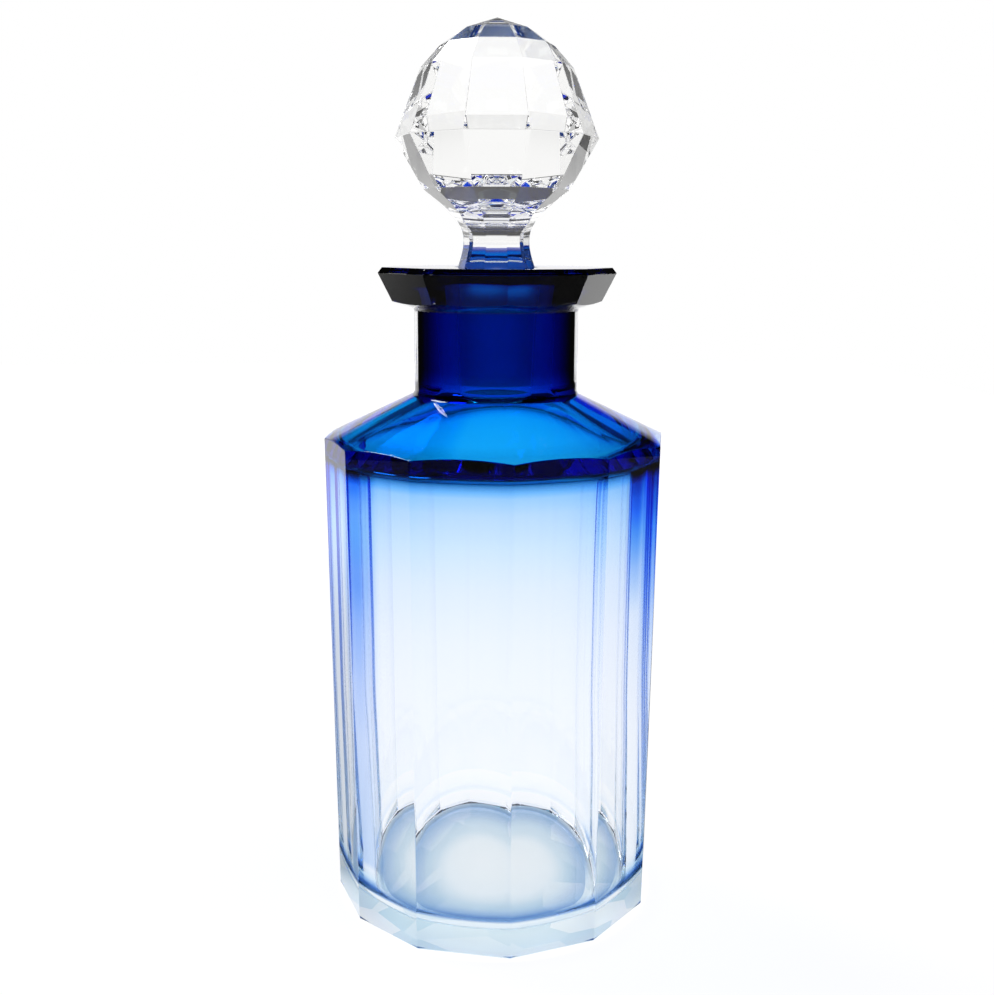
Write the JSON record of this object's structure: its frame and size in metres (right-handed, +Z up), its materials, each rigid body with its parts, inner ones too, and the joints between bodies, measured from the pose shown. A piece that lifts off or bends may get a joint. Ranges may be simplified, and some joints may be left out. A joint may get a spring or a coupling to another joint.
{
  "type": "carafe",
  "caption": "Tall cut glass carafe: a flat-panelled clear body lined with graded blue, a round neck with a faceted flange, and a lift-out stopper with a faceted crystal ball.",
  "frame": {"origin": "middle of the foot, on the plane that the carafe stands on", "axes": "+Z up along the carafe's axis; -Y towards the front edge between two body panels; +X to the right seen from the front"},
  "size_m": [0.09, 0.09, 0.2314],
  "materials": {
    "clear_glass": "clear glass, wheel-cut flat panels polished bright",
    "blue_glass": "cobalt blue glass, thick and dark at the neck and fading to nearly clear at the foot",
    "stopper_crystal": "clear crystal with polished facets, the plug ground matt"
  },
  "bodies": {
    "bottle": {"clear_casing": "clear_glass", "blue_lining": "blue_glass"},
    "stopper": {"stopper": "stopper_crystal"}
  },
  "joints": [
    {"name": "stopper_lift", "type": "slide", "parent": "bottle", "child": "stopper", "axis": [0, 0, 1], "range_m": [0, 0.045]}
  ]
}
